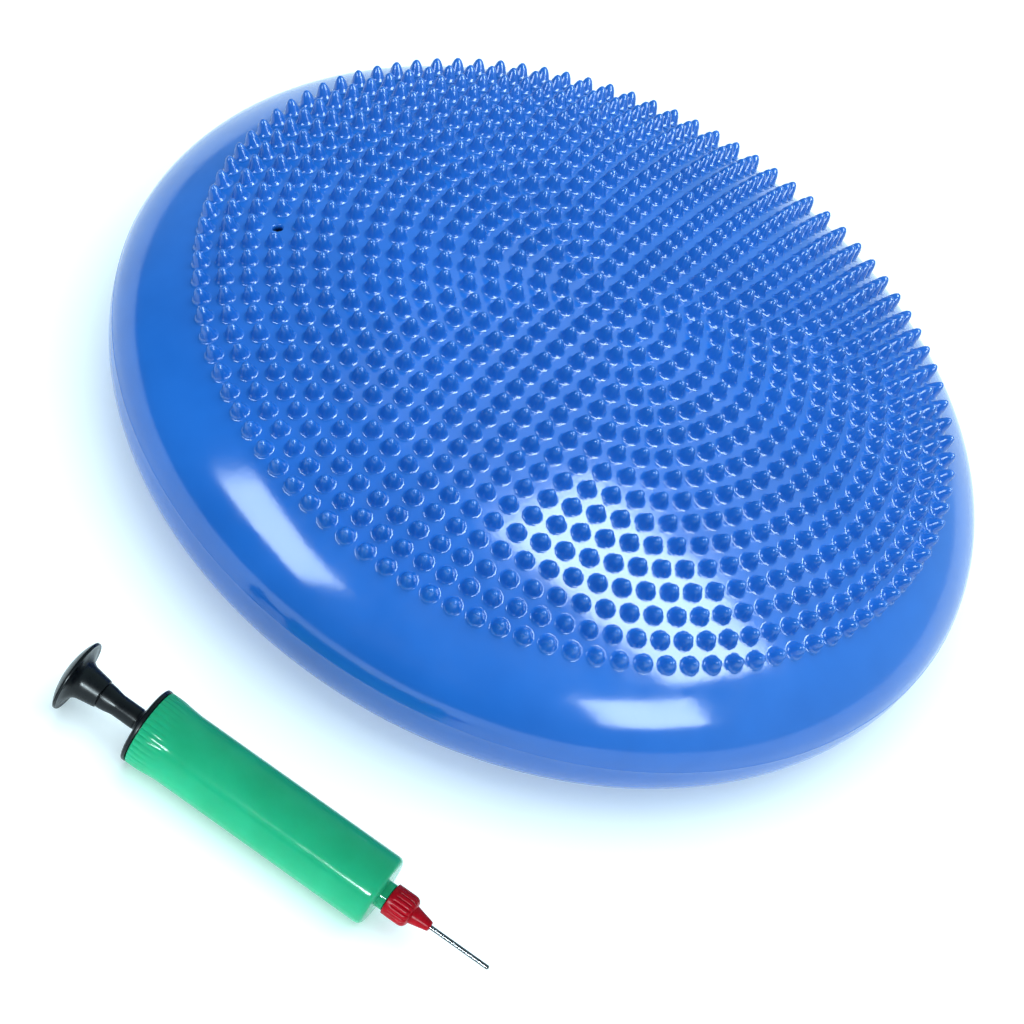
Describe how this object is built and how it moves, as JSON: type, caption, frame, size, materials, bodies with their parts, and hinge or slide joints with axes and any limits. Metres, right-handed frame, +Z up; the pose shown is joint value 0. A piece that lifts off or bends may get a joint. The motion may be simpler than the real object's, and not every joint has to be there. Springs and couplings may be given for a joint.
{
  "type": "inflatable balance disc with hand pump",
  "caption": "Round inflatable balance disc with a nubbed domed crown and a filling valve, with its hand pump and needle lying in front of it.",
  "frame": {"origin": "centre of the disc's flat rest face", "axes": "+Z up along the disc's axis, -Y towards the pump, +X the way the pump's needle points"},
  "size_m": [0.33, 0.4036, 0.0968],
  "materials": {
    "blue_pvc": "smooth glossy soft PVC, slightly translucent",
    "valve_rubber": "matt soft rubber",
    "black_plastic": "moulded, satin gloss",
    "seal_rubber": "pale greased rubber",
    "green_plastic": "glossy translucent moulding",
    "red_plastic": "glossy moulding",
    "needle_steel": "polished plated steel"
  },
  "bodies": {
    "disc": {"bladder": "blue_pvc", "valve_core": "valve_rubber"},
    "pump_barrel": {"barrel": "green_plastic", "barrel_cap": "black_plastic", "outlet_flap": "valve_rubber"},
    "plunger": {"handle": "black_plastic", "piston_rod": "black_plastic", "piston_head": "black_plastic", "piston_seal": "seal_rubber"},
    "washer": {"hub_washer": "valve_rubber"},
    "needle_unit": {"needle_hub": "red_plastic", "needle": "needle_steel"}
  },
  "joints": [
    {"name": "pump_lift", "type": "slide", "parent": "disc", "child": "pump_barrel", "axis": [0, 0, 1], "range_m": [0, 0.15]},
    {"name": "plunger_slide", "type": "slide", "parent": "pump_barrel", "child": "plunger", "axis": [-0.9845, 0.1754, 0.0085], "range_m": [0, 0.07]},
    {"name": "hub_advance", "type": "slide", "parent": "pump_barrel", "child": "washer", "axis": [0.9845, -0.1754, -0.0085], "range_m": [0, 0.0032]},
    {"name": "hub_turn", "type": "hinge", "parent": "washer", "child": "needle_unit", "pos_m": [0.0333, -0.22747, 0.01311], "axis": [0.9845, -0.1754, -0.0085], "range_deg": [0, 1440]}
  ],
  "couplings": [
    {"joint": "hub_turn", "follows": "hub_advance", "rad_per_m": 7854}
  ]
}
